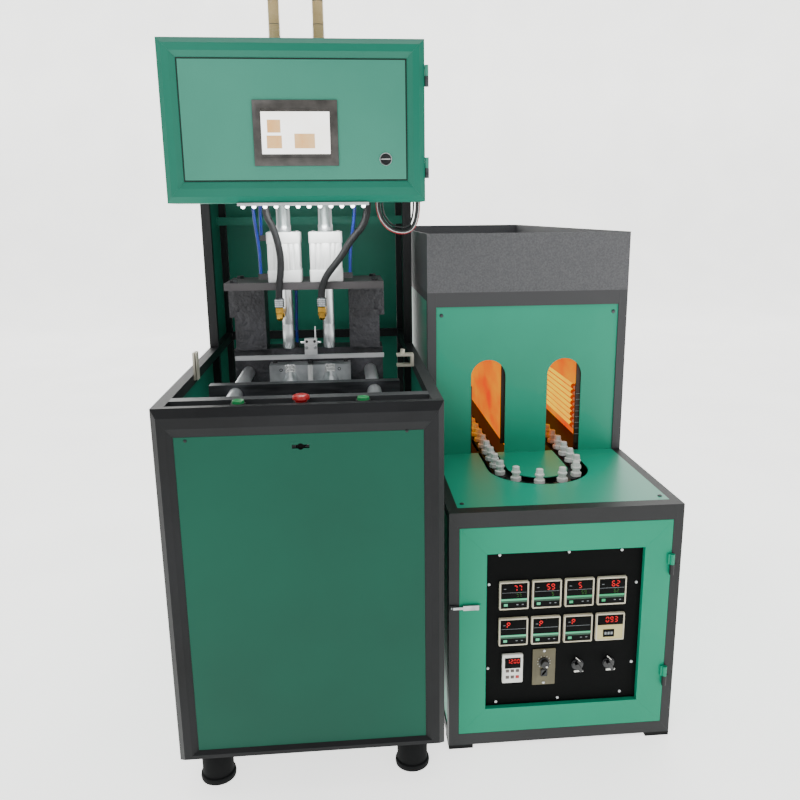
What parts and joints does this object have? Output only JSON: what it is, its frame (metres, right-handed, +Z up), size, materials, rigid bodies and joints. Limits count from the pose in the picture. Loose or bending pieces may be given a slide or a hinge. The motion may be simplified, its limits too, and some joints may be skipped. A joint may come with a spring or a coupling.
{
  "type": "plastic bottle making machine",
  "caption": "Stretch blow moulding machine with a bottle mould, clamp and blow heads, and the rotary infrared heater that warms its preforms.",
  "frame": {"origin": "floor level under the middle of the whole set", "axes": "+X to the operator's right, +Y away from the operator, +Z up"},
  "size_m": [1.184, 2.013, 1.85],
  "materials": {
    "blower_front_frame": "textured",
    "blower_tubes": "textured",
    "blower_feet": "matte",
    "front_panel": "satin",
    "blower_panels": "satin",
    "button_channel": "satin",
    "button_bodies": "matte",
    "start_button_left": "gloss",
    "start_button_right": "gloss",
    "stop_button": "gloss",
    "clamp_bed": "satin",
    "tie_bars": "polished",
    "clamp_cylinder": "satin",
    "clamp_rod": "polished",
    "moving_platen": "satin",
    "front_mould": "machined",
    "rear_mould": "machined",
    "fixed_platen": "rough",
    "gantry_plate": "textured",
    "seal_cylinders": "satin",
    "stretch_cylinders": "satin",
    "blow_head_left": "polished",
    "blow_head_right": "polished",
    "stretch_rod_left": "polished",
    "stretch_rod_right": "polished",
    "preform_bar": "brushed",
    "guard_clips": "brushed",
    "blow_hose_left": "satin",
    "blow_hose_right": "satin",
    "air_tubes": "gloss",
    "tube_fittings": "plated",
    "control_box_shell": "satin",
    "control_box_bezel": "satin",
    "control_door": "satin",
    "touch_screen": "satin",
    "door_lock": "polished",
    "led_strip": "gloss",
    "wiring_loop": "matte",
    "heater_tubes": "textured",
    "heater_pads": "matte",
    "heater_table": "satin",
    "chain_drive": "satin",
    "chain_links": "oiled",
    "preform_holders": "satin",
    "oven_front_panel": "satin",
    "heater_panels": "satin",
    "hood": "textured",
    "lamp_brackets": "satin",
    "lamp_tubes": "glowing",
    "reflectors": "polished",
    "heater_door": "satin",
    "control_panel": "satin",
    "temperature_meters": "satin",
    "panel_timer": "satin",
    "panel_devices": "satin",
    "panel_screws": "polished",
    "speed_knob": "matte",
    "selector_left": "matte",
    "selector_right": "matte",
    "latch_lever": "polished"
  },
  "bodies": {
    "machine": {"blower_front_frame": "blower_front_frame", "blower_tubes": "blower_tubes", "blower_feet": "blower_feet", "front_panel": "front_panel", "blower_panels": "blower_panels", "button_channel": "button_channel", "button_bodies": "button_bodies", "clamp_bed": "clamp_bed", "tie_bars": "tie_bars", "clamp_cylinder": "clamp_cylinder", "rear_mould": "rear_mould", "fixed_platen": "fixed_platen", "gantry_plate": "gantry_plate", "seal_cylinders": "seal_cylinders", "stretch_cylinders": "stretch_cylinders", "preform_bar": "preform_bar", "guard_clips": "guard_clips", "blow_hose_left": "blow_hose_left", "blow_hose_right": "blow_hose_right", "air_tubes": "air_tubes", "tube_fittings": "tube_fittings", "control_box_shell": "control_box_shell", "control_box_bezel": "control_box_bezel", "led_strip": "led_strip", "wiring_loop": "wiring_loop", "heater_tubes": "heater_tubes", "heater_pads": "heater_pads", "heater_table": "heater_table", "chain_drive": "chain_drive", "chain_links": "chain_links", "preform_holders": "preform_holders", "oven_front_panel": "oven_front_panel", "heater_panels": "heater_panels", "hood": "hood", "lamp_brackets": "lamp_brackets", "lamp_tubes": "lamp_tubes", "reflectors": "reflectors"},
    "start_left": {"start_button_left": "start_button_left"},
    "start_right": {"start_button_right": "start_button_right"},
    "stop": {"stop_button": "stop_button"},
    "clamp": {"moving_platen": "moving_platen", "front_mould": "front_mould", "clamp_rod": "clamp_rod"},
    "blow_left": {"blow_head_left": "blow_head_left"},
    "blow_right": {"blow_head_right": "blow_head_right"},
    "stretch_left": {"stretch_rod_left": "stretch_rod_left"},
    "stretch_right": {"stretch_rod_right": "stretch_rod_right"},
    "box_door": {"control_door": "control_door", "touch_screen": "touch_screen"},
    "box_lock": {"door_lock": "door_lock"},
    "oven_door": {"heater_door": "heater_door", "control_panel": "control_panel", "temperature_meters": "temperature_meters", "panel_timer": "panel_timer", "panel_devices": "panel_devices", "panel_screws": "panel_screws"},
    "speed_dial": {"speed_knob": "speed_knob"},
    "select_left": {"selector_left": "selector_left"},
    "select_right": {"selector_right": "selector_right"},
    "latch": {"latch_lever": "latch_lever"}
  },
  "joints": [
    {"name": "start_left_press", "type": "slide", "parent": "machine", "child": "start_left", "axis": [0, 0, -1], "range_m": [0, 0.004], "stiffness_N_per_m": 500},
    {"name": "start_right_press", "type": "slide", "parent": "machine", "child": "start_right", "axis": [0, 0, -1], "range_m": [0, 0.004], "stiffness_N_per_m": 500},
    {"name": "stop_press", "type": "slide", "parent": "machine", "child": "stop", "axis": [0, 0, -1], "range_m": [0, 0.004], "stiffness_N_per_m": 500},
    {"name": "mould_close", "type": "slide", "parent": "machine", "child": "clamp", "axis": [0, 1, 0], "range_m": [0, 0.1185]},
    {"name": "blow_left_slide", "type": "slide", "parent": "machine", "child": "blow_left", "axis": [0, 0, -1], "range_m": [0, 0.043], "deforming": ["blow_hose_left"]},
    {"name": "blow_right_slide", "type": "slide", "parent": "machine", "child": "blow_right", "axis": [0, 0, -1], "range_m": [0, 0.043], "deforming": ["blow_hose_right"]},
    {"name": "stretch_left_slide", "type": "slide", "parent": "machine", "child": "stretch_left", "axis": [0, 0, -1], "range_m": [0, 0.22]},
    {"name": "stretch_right_slide", "type": "slide", "parent": "machine", "child": "stretch_right", "axis": [0, 0, -1], "range_m": [0, 0.22]},
    {"name": "box_door_swing", "type": "hinge", "parent": "machine", "child": "box_door", "pos_m": [-0.5444, -0.6905, 1.4985], "axis": [0, 0, -1], "range_deg": [0, 100]},
    {"name": "lock_turn", "type": "hinge", "parent": "box_door", "child": "box_lock", "pos_m": [-0.088, -0.6915, 1.414], "axis": [0, 1, 0], "range_deg": [0, 90]},
    {"name": "heater_door_swing", "type": "hinge", "parent": "machine", "child": "oven_door", "pos_m": [0.568, -0.8995, 0.312], "axis": [0, 0, 1], "range_deg": [0, 105]},
    {"name": "latch_flip", "type": "hinge", "parent": "oven_door", "child": "latch", "pos_m": [0.101, -0.898, 0.384], "axis": [0, 0, 1], "range_deg": [0, 120]},
    {"name": "speed_turn", "type": "hinge", "parent": "oven_door", "child": "speed_dial", "pos_m": [0.2678, -0.8865, 0.22], "axis": [0, 1, 0], "range_deg": [0, 270]},
    {"name": "select_left_turn", "type": "hinge", "parent": "oven_door", "child": "select_left", "pos_m": [0.3525, -0.8865, 0.207], "axis": [0, 1, 0], "range_deg": [0, 90]},
    {"name": "select_right_turn", "type": "hinge", "parent": "oven_door", "child": "select_right", "pos_m": [0.431, -0.8865, 0.207], "axis": [0, 1, 0], "range_deg": [0, 90]}
  ],
  "couplings": [
    {"joint": "blow_right_slide", "follows": "blow_left_slide", "ratio": 1},
    {"joint": "stretch_right_slide", "follows": "stretch_left_slide", "ratio": 1}
  ]
}
